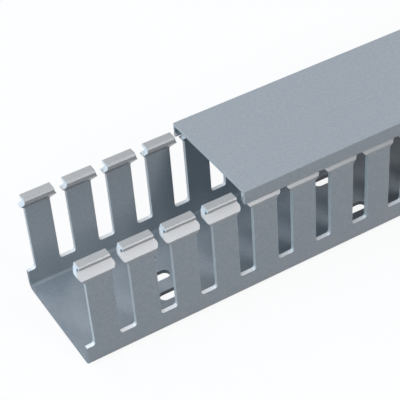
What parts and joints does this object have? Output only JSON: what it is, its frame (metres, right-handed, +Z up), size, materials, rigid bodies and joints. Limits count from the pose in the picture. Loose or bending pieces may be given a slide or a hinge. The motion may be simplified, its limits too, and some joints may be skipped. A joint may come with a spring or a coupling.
{
  "type": "slotted wire duct",
  "caption": "Open-slot wiring duct: a U channel whose walls are cut into fingers with snap heads, and a flat cover that snaps over them and slides along.",
  "frame": {"origin": "centre of the channel's underside, half way along the channel", "axes": "+X along the duct, away from the end that the cover leaves open; +Y across it; +Z up, out of the open side"},
  "size_m": [0.58, 0.059, 0.0574],
  "materials": {
    "channel_pvc": "matte",
    "cover_pvc": "matte"
  },
  "bodies": {
    "channel": {"slotted_channel": "channel_pvc"},
    "cover": {"snap_cover": "cover_pvc"}
  },
  "joints": [
    {"name": "cover_slide", "type": "slide", "parent": "channel", "child": "cover", "axis": [1, 0, 0], "range_m": [-0.08, 0.4]}
  ]
}
